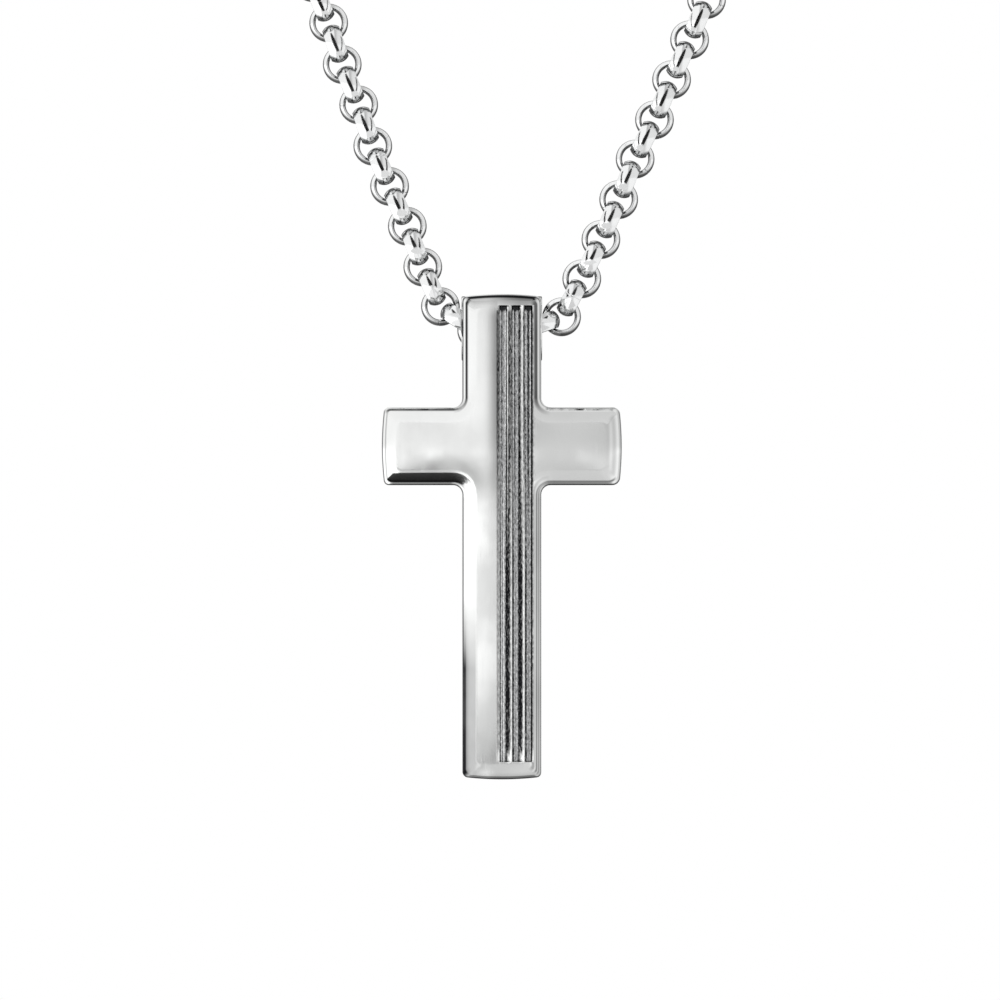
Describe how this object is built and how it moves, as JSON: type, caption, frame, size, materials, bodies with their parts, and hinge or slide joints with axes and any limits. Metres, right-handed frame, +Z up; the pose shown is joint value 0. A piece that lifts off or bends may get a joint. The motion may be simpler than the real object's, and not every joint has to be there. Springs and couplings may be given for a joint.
{
  "type": "cross pendant on a belcher chain",
  "caption": "Polished steel cross with rounded edges and sunk grooves, hung by a hidden tunnel eye on a round-link chain.",
  "frame": {"origin": "on the nape, where the inner side of the clasp's barrel rests, at its middle", "axes": "+Z up as worn, -Y to the front, the way the cross faces, +X to the viewer's right"},
  "size_m": [0.1164, 0.1148, 0.1851],
  "materials": {
    "cross_steel": "mirror polish, grooves left rough",
    "chain_steel": "tumble polish",
    "clasp_steel": "tumble polish"
  },
  "bodies": {
    "necklace": {"chain": "chain_steel", "clasp": "clasp_steel"},
    "pendant": {"cross": "cross_steel"}
  },
  "joints": [
    {"name": "pendant_swing", "type": "hinge", "parent": "necklace", "child": "pendant", "pos_m": [0, -0.1082, -0.1425], "axis": [1, 0, 0], "range_deg": [-90, 90]}
  ]
}
